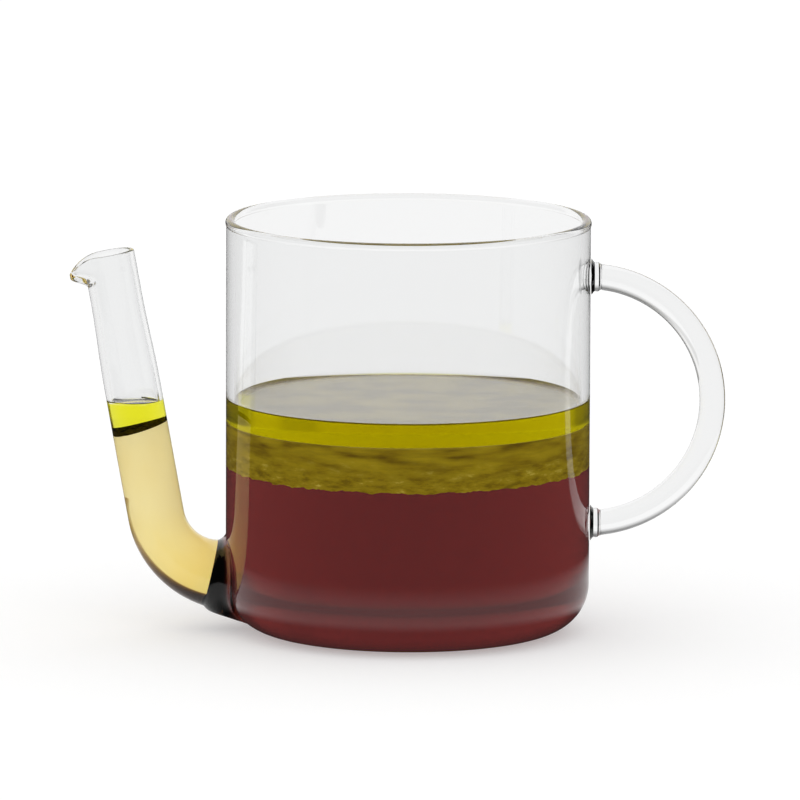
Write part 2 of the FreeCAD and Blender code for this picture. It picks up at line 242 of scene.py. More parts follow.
# %% [markdown]
# Glass is an interface, not a colour. Where it meets air it bends light by its index. Where it is wet or
# fused it meets something of nearly the same index, and light goes straight on. So each glass mesh has
# two finishes: clear glass where it is dry, and a finish with an index of 1 where it touches liquid or
# more glass. The liquid's own mesh then only colours the light. A faint, wide bump gives the hand-blown
# waviness. The underside of the base has the second finish too, so that it is no mirror below the gravy.

# %% Glass finishes
GLASS_INDEX = 1.47
MATCHED_INDEX = 1.0


def new_material(name):
    """A node material, its node tree and its shader."""
    material = bpy.data.materials.new(name)
    material.use_nodes = True
    return material, material.node_tree, material.node_tree.nodes["Principled BSDF"]


def clear_shader(shader, index):
    """Makes a shader clear with an index of refraction."""
    shader.inputs["Base Color"].default_value = (1, 1, 1, 1)
    shader.inputs["Roughness"].default_value = 0
    shader.inputs["IOR"].default_value = index
    shader.inputs["Transmission Weight"].default_value = 1


def noise_of(tree, size, stretch, detail):
    """Noise over the object's own coordinates: size is in metres."""
    place = tree.nodes.new("ShaderNodeTexCoord")
    mapping = tree.nodes.new("ShaderNodeMapping")
    mapping.inputs["Scale"].default_value = stretch
    noise = tree.nodes.new("ShaderNodeTexNoise")
    noise.inputs["Scale"].default_value = 1 / size
    noise.inputs["Detail"].default_value = detail
    tree.links.new(place.outputs["Object"], mapping.inputs["Vector"])
    tree.links.new(mapping.outputs["Vector"], noise.inputs["Vector"])
    return noise


def waves(tree, shader, size, height, stretch=(1, 1, 1)):
    """A soft bump from noise: size and height are in metres."""
    noise = noise_of(tree, size, stretch, 1)
    bump = tree.nodes.new("ShaderNodeBump")
    bump.inputs["Strength"].default_value = 1
    bump.inputs["Distance"].default_value = height
    tree.links.new(noise.outputs["Fac"], bump.inputs["Height"])
    tree.links.new(bump.outputs["Normal"], shader.inputs["Normal"])


def make_glass():
    """Clear glass against air."""
    material, tree, shader = new_material("clear_glass")
    clear_shader(shader, GLASS_INDEX)
    shader.inputs["Base Color"].default_value = (0.965, 0.968, 0.968, 1)
    waves(tree, shader, 45 * MM, 0.004 * MM, (1, 1, 0.35))
    return material


def make_contact():
    """Glass where it is wet or fused: its index matches what it touches."""
    material, tree, shader = new_material("glass_in_contact")
    clear_shader(shader, MATCHED_INDEX)
    return material


clear_glass = make_glass()
contact_glass = make_contact()
print("glass finishes:", clear_glass.name, contact_glass.name)

# %% [markdown]
# Gravy and fat are clear, coloured liquids: what colours them is how far light goes through them. A
# Volume Absorption node does that, and its numbers are how much of each colour a metre takes. The thick
# gravy in the wide jug then turns dark red-brown, while the same fat looks lemon yellow in the narrow
# spout and olive across the jug. The gravy in the jug also glows faintly, for the light that its fine
# solids scatter back, and the gravy that has settled in the spout's bend is denser still.

# %% Liquid finishes
FAT_INDEX = 1.47
WATER_LINE_INDEX = 1.10


def make_liquid(name, colour, density):
    """A clear liquid that absorbs: density is per metre, and colour is what it spares."""
    material, tree, shader = new_material(name)
    clear_shader(shader, MATCHED_INDEX)
    absorb = tree.nodes.new("ShaderNodeVolumeAbsorption")
    absorb.inputs["Color"].default_value = (*colour, 1)
    absorb.inputs["Density"].default_value = density
    tree.links.new(absorb.outputs["Volume"], tree.nodes["Material Output"].inputs["Volume"])
    return material


def add_glow(material, colour):
    """A faint even glow at a liquid's edge, for the light that cloudy liquid scatters back."""
    shader = material.node_tree.nodes["Principled BSDF"]
    shader.inputs["Emission Color"].default_value = (*colour, 1)
    shader.inputs["Emission Strength"].default_value = 1


def make_surface(name, index):
    """The skin of a liquid, with the faintest ripple."""
    material, tree, shader = new_material(name)
    clear_shader(shader, index)
    waves(tree, shader, 18 * MM, 0.006 * MM)
    return material


gravy_liquid = make_liquid("gravy_liquid", (0.68, 0.39, 0.37), 85)
settled_gravy = make_liquid("settled_gravy", (0.62, 0.52, 0.35), 1100)
fat_liquid = make_liquid("fat_liquid", (0.964, 0.955, 0.0), 250)
add_glow(gravy_liquid, (0.062, 0.017, 0.017))
fat_skin = make_surface("fat_skin", FAT_INDEX)
water_line = make_surface("water_line", WATER_LINE_INDEX)
print("liquids:", gravy_liquid.name, fat_liquid.name)

# %% [markdown]
# Between gravy and fat lies a cloudy band, where fine drops of each hang in the other. It is matt and
# streaky, olive above and more golden below, and its top face is painted paler, as painted light. The
# cream in the spout is the same thing, finer and paler.
# Golden drops cling beside the band, and a thin ring of painted shade lies where the fat in the spout
# ends, for the light that the fat's edge bends away. All four are plain shaders, mottled by noise. Band
# and cream have a glow, for the light that they scatter inside.

# %% Cloudy finishes
def ramp_of(tree, stops):
    """A colour ramp. A new one has two stops, which take the first two places and colours."""
    ramp = tree.nodes.new("ShaderNodeValToRGB")
    for number, (place, colour) in enumerate(stops):
        if number < 2:
            element = ramp.color_ramp.elements[number]
            element.position = place
        else:
            element = ramp.color_ramp.elements.new(place)
        element.color = (*colour, 1)
    return ramp


def mottled(tree, noise, stops):
    """A colour that follows noise along a ramp."""
    ramp = ramp_of(tree, stops)
    tree.links.new(noise.outputs["Fac"], ramp.inputs["Fac"])
    return ramp.outputs["Color"]


def coordinate(tree, where, axis):
    """One coordinate of a place or a direction."""
    split = tree.nodes.new("ShaderNodeSeparateXYZ")
    tree.links.new(where, split.inputs["Vector"])
    return split.outputs[axis]


def share_between(tree, value, low, high, first=0, last=1):
    """Goes from a first to a last number while a value goes from low to high."""
    share = tree.nodes.new("ShaderNodeMapRange")
    share.inputs["From Min"].default_value = low
    share.inputs["From Max"].default_value = high
    share.inputs["To Min"].default_value = first
    share.inputs["To Max"].default_value = last
    tree.links.new(value, share.inputs["Value"])
    return share.outputs["Result"]


def height_of(tree, low, high):
    """0 at one height of the piece and 1 at another."""
    place = tree.nodes.new("ShaderNodeTexCoord")
    return share_between(tree, coordinate(tree, place.outputs["Object"], "Z"), low, high)


def mix_colours(tree, factor, first, second):
    """Blends two colour sockets by a factor socket."""
    mix = tree.nodes.new("ShaderNodeMix")
    mix.data_type = "RGBA"
    tree.links.new(factor, mix.inputs["Factor"])
    tree.links.new(first, mix.inputs["A"])
    tree.links.new(second, mix.inputs["B"])
    return mix.outputs["Result"]


def matt(tree, shader, colour, roughness, shine, glow=0):
    """Gives a shader a colour socket, a roughness, a shine and a glow of its own colour."""
    tree.links.new(colour, shader.inputs["Base Color"])
    shader.inputs["Roughness"].default_value = roughness
    shader.inputs["Specular IOR Level"].default_value = shine
    if glow:
        tree.links.new(colour, shader.inputs["Emission Color"])
        shader.inputs["Emission Strength"].default_value = glow


def make_emulsion():
    """Olive and cloudy: dark above, more golden below, with uneven flecks and a top face painted paler, as
    painted light.
    """
    material, tree, shader = new_material("emulsion")
    streaks = noise_of(tree, 18 * MM, (1, 1, 6), 8)
    flecks = noise_of(tree, 6 * MM, (1, 1, 3.5), 14)
    flecks.inputs["Roughness"].default_value = 0.68
    upper = mottled(tree, streaks, [(0.36, (0.230, 0.140, 0.004)), (0.46, (0.440, 0.300, 0.009)),
                                    (0.62, (0.640, 0.470, 0.016))])
    lower = mottled(tree, flecks, [(0.36, (0.290, 0.190, 0.004)), (0.48, (0.500, 0.355, 0.010)),
                                   (0.58, (0.600, 0.440, 0.020)), (0.68, (0.950, 0.800, 0.120))])
    # Painted light: the top face is painted paler, as if lit from above.
    painted_light_top_face = mottled(tree, streaks, [(0.40, (0.300, 0.215, 0.050)), (0.60, (0.480, 0.370, 0.110))])
    height = height_of(tree, gravy_level + 2 * MM, emulsion_level - 3 * MM)
    painted_light_near_top = height_of(tree, emulsion_level - 0.3 * MM, emulsion_level - 0.02 * MM)
    colour = mix_colours(tree, height, lower, upper)
    matt(tree, shader, mix_colours(tree, painted_light_near_top, colour, painted_light_top_face), 0.6, 0.1, glow=0.05)
    return material


def make_cream():
    """Pale cream, warmer towards the bend. A glow stands for light scattered inside it."""
    material, tree, shader = new_material("spout_cream_liquid")
    cloud = noise_of(tree, 14 * MM, (1, 1, 0.6), 2)
    pale = mottled(tree, cloud, [(0.3, (0.95, 0.80, 0.38)), (0.7, (0.98, 0.86, 0.45))])
    warm = mottled(tree, cloud, [(0.3, (0.95, 0.70, 0.16)), (0.7, (0.98, 0.80, 0.26))])
    height = height_of(tree, 14 * MM, 40 * MM)
    matt(tree, shader, mix_colours(tree, height, warm, pale), 0.7, 0, glow=0.42)
    return material


def make_droplet():
    """A drop of fat against the glass: golden and glossy, with the brightest drops a painted glint."""
    material, tree, shader = new_material("fat_drop")
    tint = noise_of(tree, 6 * MM, (1, 1, 1), 1)
    # The brightest tone is a painted glint; the darker golds are the drops' own colour.
    golden = [(0.42, (0.06, 0.04, 0.002)), (0.50, (0.55, 0.43, 0.03)), (0.62, (0.90, 0.80, 0.25))]
    matt(tree, shader, mottled(tree, tint, golden), 0.15, 0.5)
    return material


def make_painted_shade_ring():
    """Painted shade: nearly black olive, where the fat's edge bends the light away."""
    material, tree, shader = new_material("painted_shade_olive")
    shade = noise_of(tree, 5 * MM, (1, 1, 1), 2)
    olive = [(0.3, (0.030, 0.021, 0.0)), (0.7, (0.065, 0.047, 0.001))]
    matt(tree, shader, mottled(tree, shade, olive), 0.6, 0)
    return material


emulsion_finish = make_emulsion()
cream_finish = make_cream()
droplet_finish = make_droplet()
painted_shade_ring_finish = make_painted_shade_ring()
print("cloudy:", emulsion_finish.name, cream_finish.name, droplet_finish.name, painted_shade_ring_finish.name)

# %% Where a point lies against the jug's glass
base_corner = 15.0 * MM
inner_corner = base_corner - wall


def past_round(point, radius, foot, corner):
    """How far a point lies outside a round vessel with a flat foot and a rounded corner."""
    across = math.hypot(point[0], point[1])
    height = point[2] - foot
    if height >= corner:
        return across - radius
    if across <= radius - corner:
        return -height
    return math.hypot(across - radius + corner, height - corner) - corner


def past_outside(point):
    """Distance out of the jug's outer form; inside the glass it is negative."""
    return past_round(point, jug_radius, 0, base_corner)


def past_hollow(point):
    """Distance out of the jug's hollow; in the hollow it is negative."""
    return past_round(point, inner_radius, floor_height, inner_corner)


def finish(piece, materials):
    """Gives a piece its materials, smooth shading and its body."""
    piece.data.materials.clear()
    for material in materials:
        piece.data.materials.append(material)
    smooth(piece)
    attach(piece, "root")
    print(piece.name, "has", len(piece.data.polygons), "faces")


def finish_glass(piece, touches):
    """Gives a glass piece its two finishes: the second goes on faces whose middle touches."""
    finish(piece, [clear_glass, contact_glass])
    for face in piece.data.polygons:
        face.material_index = 1 if touches(face.center) else 0


# %% [markdown]
# The jug is one blown wall that runs from the base, up the outside, over a fire-polished bead and down
# the inside to the floor. Drawing that whole run as one profile and spinning it gives a closed wall with
# a true thickness everywhere, which is what glass needs to look right. The base is pushed up a little,
# so that it stands on a ring.

# %% The blown jug
JUG_SEGMENTS = 256
# Shares of the foot's radius and of the push-up, from the middle of the base outwards.
PUSHED_BASE = [(0, 1), (0.5, 0.75), (0.8, 0.3), (0.93, 0.06)]
rim_bead = 1.5 * MM
bead_edge = 0.15 * MM
push_up = 0.7 * MM
meniscus = 1.1 * MM
wet_line = fat_level
bead_across = jug_high[1] - rim_bead
bead_height = jug_height - rim_bead
outer_turn = math.degrees(math.acos((jug_radius - bead_across) / rim_bead))
inner_turn = math.degrees(math.acos((bead_across - inner_radius) / rim_bead))
foot_across = jug_radius - base_corner
floor_across = inner_radius - inner_corner
floor_centre = (floor_across, floor_height + inner_corner)


def jug_profile():
    """The jug's wall as one run, from the middle of the base to the middle of the floor."""
    outside = [(foot_across * across, push_up * rise) for across, rise in PUSHED_BASE]
    outside += round_corner((foot_across, base_corner), base_corner, -90, 0, 18)
    outside += [(jug_radius, base_corner + (bead_height - base_corner) * share / 6)
                for share in range(1, 6)]
    outside += [(jug_radius, bead_height - rim_bead * math.sin(math.radians(outer_turn)) - bead_edge)]
    bead = round_corner((bead_across, bead_height), rim_bead, -outer_turn, 180 + inner_turn, 24)
    inside = [(inner_radius, bead_height - rim_bead * math.sin(math.radians(inner_turn)) - bead_edge)]
    inside += [(inner_radius, wet_line + (bead_height - wet_line) * share / 4) for share in (3, 2, 1)]
    inside += [(inner_radius, wet_line), (inner_radius, (wet_line + floor_centre[1]) / 2)]
    inside += round_corner(floor_centre, inner_corner, 0, -90, 18)
    inside += [(floor_across * 0.5, floor_height), (0, floor_height)]
    return outside + bead + inside


jug = lathe("blown_jug", jug_profile(), JUG_SEGMENTS)
print("jug drawn with", len(jug.data.vertices), "points")

# %% [markdown]
# Where the spout joins, the glassworker opens a port and melts the tube's root onto the wall. The joint is
# a short trumpet that spreads as it nears the jug. It runs on through the wall as a plug, and the same
# form is cut out of the jug, so the two fit with no doubled glass. Near the wall each ring swells by a
# fillet that depends on how far it still is from the wall.

# %% The fused joint at the port
weld_swell = 1.3 * MM
weld_fillet = 3.2 * MM
weld_run = 24.0 * MM
weld_rings = 60
weld_ease = 1.2 * MM
weld_widening = 0.08
widening_run = 12 * MM
fillet_growth = 1.6
joint_foot = 0.8 * MM


def port_place(along):
    """A point on the port's axis, measured into the jug from the root."""
    return root_point + into_jug * along


def trumpet_stops():
    """Rings of the joint, from the spout's root to the inside of the jug."""
    stops = []
    for ring in range(weld_rings + 1):
        along = weld_run * ring / weld_rings
        swell = weld_swell * (1 - math.exp(-along / weld_ease))
        radius = root_radius + swell + weld_widening * min(along, widening_run)
        stops.append((port_place(along), root_tilt, radius))
    return stops


def spread_onto_wall(piece):
    """Swells each ring of the trumpet where it nears the jug, as melted glass does."""
    for vertex in piece.data.vertices:
        out = vertex.co - root_point
        along = out.dot(into_jug)
        sideways = out - into_jug * along
        if along < MM / 1000 or sideways.length < MM:
            continue
        gap = max(past_outside(vertex.co), 0)
        fillet = min(weld_fillet, along * fillet_growth)
        if gap < fillet:
            rise = fillet - math.sqrt(fillet ** 2 - (fillet - gap) ** 2)
            down = max(-sideways.normalized().z, 0)
            rise *= 1 - down * down
            vertex.co += sideways.normalized() * min(rise, weld_fillet)
        vertex.co.z = max(vertex.co.z, joint_foot)


def in_port_axis(point):
    """How far along the port's axis a point lies, and how far from it."""
    out = Vector(point) - root_point
    along = out.dot(into_jug)
    return along, (out - into_jug * along).length


bore = root_radius - spout_wall
trumpet = draw_tube("spout_joint", trumpet_stops(), 96)
close_ends(trumpet)
spread_onto_wall(trumpet)
close_up(trumpet)
carve(jug, trumpet)

hollow_profile = [(0, floor_height), (floor_across, floor_height)]
hollow_profile += round_corner(floor_centre, inner_corner, -90, 0, 18)
hollow_profile += [(inner_radius, jug_height), (0, jug_height)]
hollow = lathe("hollow_form", hollow_profile, JUG_SEGMENTS)
carve(trumpet, hollow)
port_tool = draw_tube("port_tool", [(port_place(-2 * MM), root_tilt, bore),
                                    (port_place(weld_run + 4 * MM), root_tilt, bore)], 96)
close_ends(port_tool)
carve(trumpet, port_tool)
discard(port_tool)
print("joint has", len(trumpet.data.vertices), "points")

# %% [markdown]
# The handle is a solid rod, bent to an arc that is nearly half a ring. A circle spun round the ring's
# centre makes it, and one flat cut gives it the square ends that meet the collars. Each collar is a
# gather of glass with a foot, a ridge and a step, turned on its own axis, and it sinks a little way
# into the wall.

# %% The bent handle
rod_radius = 4.05 * MM
handle_radius = 39.4 * MM
handle_sink = 0.7 * MM
handle_low, handle_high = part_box("handle_rod")
handle_rise = (handle_high.z + handle_low.z) / 2
handle_centre = Vector((jug_radius - handle_sink, 0, handle_rise))
collar_end = handle_low.x


def draw_handle():
    """Half a ring of glass rod, cut square where it meets the two collars."""
    top = handle_centre + Vector((0, 0, handle_radius))
    piece = start_ring("handle_bar", 64, top, math.pi / 2, rod_radius)
    bpy.ops.mesh.spin(steps=120, angle=-math.pi, center=handle_centre, axis=(0, 1, 0))
    close_ends(piece)
    slice_off(piece, (collar_end, 0, 0), (-1, 0, 0))
    return piece


handle = draw_handle()
print("handle spans", round(max(v.co.x for v in handle.data.vertices), 5))

# %% The two collars
collar_foot = 5.65 * MM
collar_plug = 1.3 * MM
collar_bevel = 0.25 * MM
# The collar's neck, ridge and step: radius, and distance from the wall, in millimetres.
COLLAR_TURNS = [(4.85, 0.95), (4.55, 1.3), (4.62, 1.75), (4.68, 2.2), (4.55, 2.65), (4.2, 3.0)]


def collar_profile():
    """The collar from its plug in the wall out to the rod: radius, and distance from the wall."""
    out = collar_end - jug_radius
    edge = [(0, -collar_plug), (collar_foot, -collar_plug), (collar_foot, collar_bevel)]
    edge += [(collar_foot - collar_bevel, 0.55 * MM)]
    edge += [(radius * MM, away * MM) for radius, away in COLLAR_TURNS]
    return edge + [(rod_radius, 3.35 * MM), (rod_radius, out), (0, out)]


def seat_collar(name, height):
    """Turns a collar upright, lays it on its side and seats it on the wall."""
    piece = lathe(name, collar_profile(), 64)
    edit(piece)
    bpy.ops.transform.rotate(value=-math.pi / 2, orient_axis="Y", orient_type="GLOBAL",
                             center_override=(0, 0, 0))
    shift(piece, (jug_radius, 0, height))
    return piece


def seat_height(node):
    """The middle height of a collar's CAD piece."""
    low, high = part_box(node)
    return (low.z + high.z) / 2


for name, node in (("upper_collar", "handle_upper_weld"), ("lower_collar", "handle_lower_weld")):
    piece = seat_collar(name, seat_height(node))
    carve(jug, piece)
    finish_glass(piece, lambda middle: past_outside(middle) < -0.02 * MM
                 or middle.x > collar_end - 0.01 * MM)
    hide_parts(node)

finish_glass(handle, lambda middle: middle.x < collar_end + 0.01 * MM)
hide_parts("handle_rod")

# %% [markdown]
# With the port and the two collar seats cut, the jug's faces can be sorted. What lies below the fat's wet
# line inside is wet. What lies inside the thickness of the wall is a cut that meets fused glass. The
# rest is dry and gets the clear finish.

# %% Finish the jug and the joint
near_glass = 0.12 * MM
base_top = push_up * 1.01
bead_foot = bead_height / 1.02


def jug_touches(middle):
    """True on the base's underside, the wet part of the hollow and the cuts through the wall."""
    depth_in_hollow = past_hollow(middle)
    if middle.z < base_top and math.hypot(middle.x, middle.y) < foot_across:
        return True
    if abs(depth_in_hollow) < near_glass:
        return middle.z < wet_line
    return depth_in_hollow > 0 and past_outside(middle) < -near_glass and middle.z < bead_foot


def joint_touches(middle):
    """True on the root's face, in the bore, in the wall and against the gravy."""
    along, away = in_port_axis(middle)
    return along < 0.01 * MM or away < bore + 0.1 * MM or past_outside(middle) < -0.03 * MM


finish_glass(jug, jug_touches)
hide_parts("jug_body")
finish_glass(trumpet, joint_touches)
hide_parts("spout_weld")

# %% [markdown]
# The spout starts as a ring at the port, follows the bend, climbs the stem, rolls over the mouth and
# comes back down inside itself one wall thickness in. The two open ends are then bridged into the face
# that meets the joint. The stem thins a little towards the mouth, as a pulled tube does.

# %% The bent spout
RING = 96
lip_depth = 9.7 * MM
BEND_STEPS = 26
STEM_STEPS = 30
LIP_STEPS = 24
ROLL_STEPS = 8
BEND_FIRST = math.radians(270) - port_slope
BEND_LAST = math.radians(180) + spout_lean
narrow_from = 78 * MM
narrow_run = 27 * MM


def eased(share):
    """0 to 1 with soft ends."""
    share = min(max(share, 0), 1)
    return share * share * (3 - 2 * share)


def tube_radius(height):
    """The stem's outer radius: it narrows between two heights."""
    narrow = eased((height - narrow_from) / narrow_run)
    return stem_radius + (mouth_radius - stem_radius) * narrow


def bend_radius(share):
    """The bend's outer radius at a share of the way from the root to the stem."""
    return stem_radius + (root_radius - stem_radius) * (1 - share) ** 2


def bend_stops(inset):
    """Rings round the bend, from the root to the foot of the stem."""
    stops = []
    for step in range(BEND_STEPS + 1):
        share = step / BEND_STEPS
        angle = BEND_FIRST + (BEND_LAST - BEND_FIRST) * share
        centre = bend_centre + Vector((math.cos(angle), 0, math.sin(angle))) * spout_bend
        tilt = math.atan2(math.sin(angle), -math.cos(angle))
        stops.append((centre, tilt, bend_radius(share) - inset))
    return stops


def stem_stops(inset, top):
    """Rings up the stem, closer together in the lip."""
    stops = []
    straight = stem_length - lip_depth
    runs = [straight * step / STEM_STEPS for step in range(1, STEM_STEPS + 1)]
    runs += [straight + (lip_depth - top) * step / LIP_STEPS for step in range(1, LIP_STEPS + 1)]
    for run in runs:
        centre = bend_top + up_spout * run
        stops.append((centre, -spout_lean, tube_radius(centre.z) - inset))
    return stops


def mouth_stops():
    """Rings that roll over the rim, from outside to inside."""
    stops = []
    half = spout_wall / 2
    for step in range(1, ROLL_STEPS):
        angle = math.pi * step / ROLL_STEPS
        centre = mouth_point + up_spout * (half * math.sin(angle) - half)
        radius = mouth_radius - half + half * math.cos(angle)
        stops.append((centre, -spout_lean, radius))
    return stops


def spout_stops():
    """The whole run of rings: up the outside, over the rim and down the inside."""
    half = spout_wall / 2
    outside = bend_stops(0) + stem_stops(0, half)
    inside = bend_stops(spout_wall) + stem_stops(spout_wall, half)
    return outside + mouth_stops() + inside[::-1]


spout = draw_tube("bent_spout", spout_stops(), RING)
bpy.ops.mesh.select_all(action="DESELECT")
bpy.ops.mesh.select_non_manifold()
bpy.ops.mesh.bridge_edge_loops()
close_up(spout)
print("spout has", len(spout.data.vertices), "points")

# %% [markdown]
# The pouring lip is pulled out of the hot rim with a tool: the wall on the far side bellies out into a
# nose, and the rim there rolls down. No operator makes both at once, so the rings near the mouth are
# moved by a formula. A bell curve round the tube says how much of the nose each point gets.

# %% The pouring lip
lip_reach = 5.0 * MM
lip_curl = 3.6 * MM
lip_width = 29.0
lip_roll = 11.8 * MM
lip_start = 4.0 * MM


def rim_drop(out):
    """How far the rim rolls down at a distance out from the tube's axis."""
    over = min(max(out - lip_start, 0), lip_roll * 0.98)
    return lip_roll - math.sqrt(lip_roll ** 2 - over ** 2)


def pull_lip(piece):
    """Bellies the wall out towards the lip and rolls the rim down."""
    outward = Vector((-math.cos(spout_lean), 0, -math.sin(spout_lean)))
    for vertex in piece.data.vertices:
        local = vertex.co - mouth_point
        rise = local.dot(up_spout)
        if rise < -lip_depth:
            continue
        out, side = local.dot(outward), local.y
        radius = math.hypot(out, side)
        angle = math.degrees(math.atan2(side, out))
        bell = math.exp(-(angle / lip_width) ** 2)
        rim_out = (mouth_radius + lip_reach * bell) * math.cos(math.radians(angle))
        share = (rise + lip_depth) / lip_depth
        lowered = -lip_depth + share * (lip_depth - rim_drop(rim_out))
        inset = mouth_radius - radius
        nose = lip_reach * bell * eased((lowered - inset + lip_depth) / lip_curl)
        swell = (radius + nose) / radius
        vertex.co = mouth_point + up_spout * lowered + outward * out * swell
        vertex.co.y = side * swell


pull_lip(spout)
close_up(spout)
spout_meniscus = 0.7 * MM
spout_wet_line = spout_fat_level
edit(spout)
bpy.ops.mesh.bisect(plane_co=(0, 0, spout_wet_line), plane_no=(0, 0, 1))
bpy.ops.object.mode_set(mode="OBJECT")
print("lip reaches", round(min(v.co.x for v in spout.data.vertices), 5))


def spout_axis_gap(point):
    """How far a point lies from the spout's centreline."""
    point = Vector(point)
    out = point - bend_centre
    if out.dot(up_spout) > 0:
        line_out = point - bend_top
        return (line_out - up_spout * line_out.dot(up_spout)).length
    ring_gap = math.hypot(out.x, out.z) - spout_bend
    return math.hypot(ring_gap, point.y)


def share_of_bend(point):
    """How far round the bend a point lies: 0 at the root and 1 at the stem."""
    out = Vector(point) - bend_centre
    angle = math.atan2(out.z, out.x) % (2 * math.pi)
    return min(max((angle - BEND_FIRST) / (BEND_LAST - BEND_FIRST), 0), 1)


def spout_touches(middle):
    """True on the root's face and on the bore below the wet line."""
    along, away = in_port_axis(middle)
    if along > -0.02 * MM and middle.z < spout_bend:
        return True
    if middle.z > spout_wet_line:
        return False
    if (middle - bend_centre).dot(up_spout) > 0:
        outer = tube_radius(max(middle.z, bend_top.z))
    else:
        outer = bend_radius(share_of_bend(middle))
    return spout_axis_gap(middle) < outer - spout_wall / 2


finish_glass(spout, spout_touches)
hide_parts("spout_tube")

# %% [markdown]
# The liquids come next. Each fills its space to within a few hundredths of a millimetre, so no two
# faces coincide. The gravy is turned from the hollow's own profile, and the fat is a plain disc. The fat
# carries two thin skins: its top, which bends light and climbs the glass in a meniscus, and its
# underside, where it meets the watery layer below and turns back light that grazes it.

# %% Gravy, fat and the fat's two skins
ease = 0.02 * MM
skin = 0.3 * MM


def finish_liquid(piece, material, node):
    """Gives a liquid its finish, and makes it stand for its CAD piece."""
    finish(piece, [material])
    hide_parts(node)


def disc_profile(radius, low, high):
    """A flat round slab with one ring halfway in on each face."""
    return [(0, low), (radius / 2, low), (radius, low), (radius, high), (radius / 2, high), (0, high)]


gravy_profile = [(0, floor_height + ease), (floor_across, floor_height + ease)]
gravy_profile += round_corner(floor_centre, inner_corner - ease, -90, 0, 18)
gravy_profile += [(inner_radius - ease, gravy_level), (0, gravy_level)]
gravy = lathe("gravy_fill", gravy_profile, JUG_SEGMENTS)
finish_liquid(gravy, gravy_liquid, "gravy")

liquid_radius = inner_radius - ease
fat_top_level = fat_level - meniscus
fat_profile = disc_profile(liquid_radius, emulsion_level + skin, fat_top_level - skin)
fat = lathe("fat_fill", fat_profile, JUG_SEGMENTS)
finish_liquid(fat, fat_liquid, "fat_layer")


def climb(from_wall, rise, reach):
    """How high a liquid's skin stands at a distance from the wall."""
    return rise * math.exp(-from_wall / reach)


def skin_profile(radius, low, level, rise, reach, rings):
    """A thin slab under a liquid's free surface, which climbs at the wall."""
    edge = [(0, low), (radius, low)]
    for ring in range(rings + 1):
        from_wall = radius * (ring / rings) ** 3
        edge.append((radius - from_wall, level + climb(from_wall, rise, reach)))
    return edge


def finish_skin(piece, material, is_free):
    """Gives the free faces of a skin its index, and the rest the contact finish."""
    finish(piece, [contact_glass, material])
    for face in piece.data.polygons:
        face.material_index = 1 if is_free(face) else 0


skin_low = fat_top_level - skin + ease
top_edge = skin_profile(liquid_radius, skin_low, fat_top_level, meniscus, 1.8 * MM, 40)
fat_top = lathe("fat_surface", top_edge, JUG_SEGMENTS)
finish_skin(fat_top, fat_skin, lambda face: face.normal.z > 0.05)

under_edge = disc_profile(liquid_radius, emulsion_level + ease, emulsion_level + skin - ease)
fat_under = lathe("fat_underside", under_edge, JUG_SEGMENTS)
finish_skin(fat_under, water_line, lambda face: face.normal.z < -0.5)

# %% [markdown]
# The cloudy band is a turned slab too, with more points round its wall. Its lower edge is ragged, where
# drops sag into the gravy: soft noise moves those points up and down. Drops of fat cling to the glass
# all round it: one small ball is modelled, then copied with its own mesh at seeded random places and
# joined.

# %% The cloudy band
BAND_SEGMENTS = 384
BAND_ROWS = 24
SAG_REACH = 2.2 * MM
COARSE_SAG = 3.2 * MM
FINE_SAG = 0.9 * MM
band_radius = inner_radius - 0.5 * ease
band_low = gravy_level - 0.5 * MM
band_profile = [(0, band_low), (band_radius * 0.9, band_low)]
band_profile += [(band_radius, band_low + (emulsion_level - band_low) * row / BAND_ROWS)
                 for row in range(BAND_ROWS + 1)]
band_profile += [(0, emulsion_level)]
band = lathe("cloudy_band", band_profile, BAND_SEGMENTS)


def sag_edge(piece):
    """Lets the lower edge of the band hang in small uneven drops."""
    for vertex in piece.data.vertices:
        near_edge = 1 - (vertex.co.z - band_low) / SAG_REACH
        if near_edge <= 0 or math.hypot(vertex.co.x, vertex.co.y) < band_radius * 0.95:
            continue
        coarse = field.noise(vertex.co / COARSE_SAG)
        fine = field.noise(vertex.co / FINE_SAG + Vector((7, 3, 1)))
        vertex.co.z += (0.55 * coarse + 0.35 * fine) * MM * near_edge


sag_edge(band)
finish_liquid(band, emulsion_finish, "emulsion_band")

# %% The drops of fat against the glass
DROP_COUNT = 420
drop_dice = random.Random(11)


def model_drop():
    """One drop of unit radius, a little lower than it is wide."""
    deselect_all()
    bpy.ops.mesh.primitive_ico_sphere_add(subdivisions=2, radius=1)
    piece = bpy.context.object
    piece.name = "fat_drops"
    edit(piece)
    bpy.ops.transform.resize(value=(1, 1, 0.85), center_override=(0, 0, 0))
    bpy.ops.object.mode_set(mode="OBJECT")
    return piece


def scatter_drops(first):
    """Copies of the drop round the band, most of them low and small."""
    copies = []
    shape = first.data.copy()
    for number in range(DROP_COUNT):
        size = (0.10 + 0.26 * drop_dice.random() ** 2.5) * MM
        turn = 2 * math.pi * drop_dice.random()
        low = drop_dice.random() ** 1.5
        height = gravy_level - 0.2 * MM + low * (emulsion_level - gravy_level)
        across = inner_radius - ease - size * 0.98
        place = Vector((across * math.cos(turn), across * math.sin(turn), height))
        copy = first if number == 0 else first.copy()
        copy.data = shape.copy()
        for vertex in copy.data.vertices:
            vertex.co = place + vertex.co * size
        if number:
            bpy.context.scene.collection.objects.link(copy)
        copies.append(copy)
    return copies


drops = scatter_drops(model_drop())
deselect_all()
for copy in drops:
    copy.select_set(True)
bpy.context.view_layer.objects.active = drops[0]
bpy.ops.object.join()
drops = bpy.context.object
finish(drops, [droplet_finish])
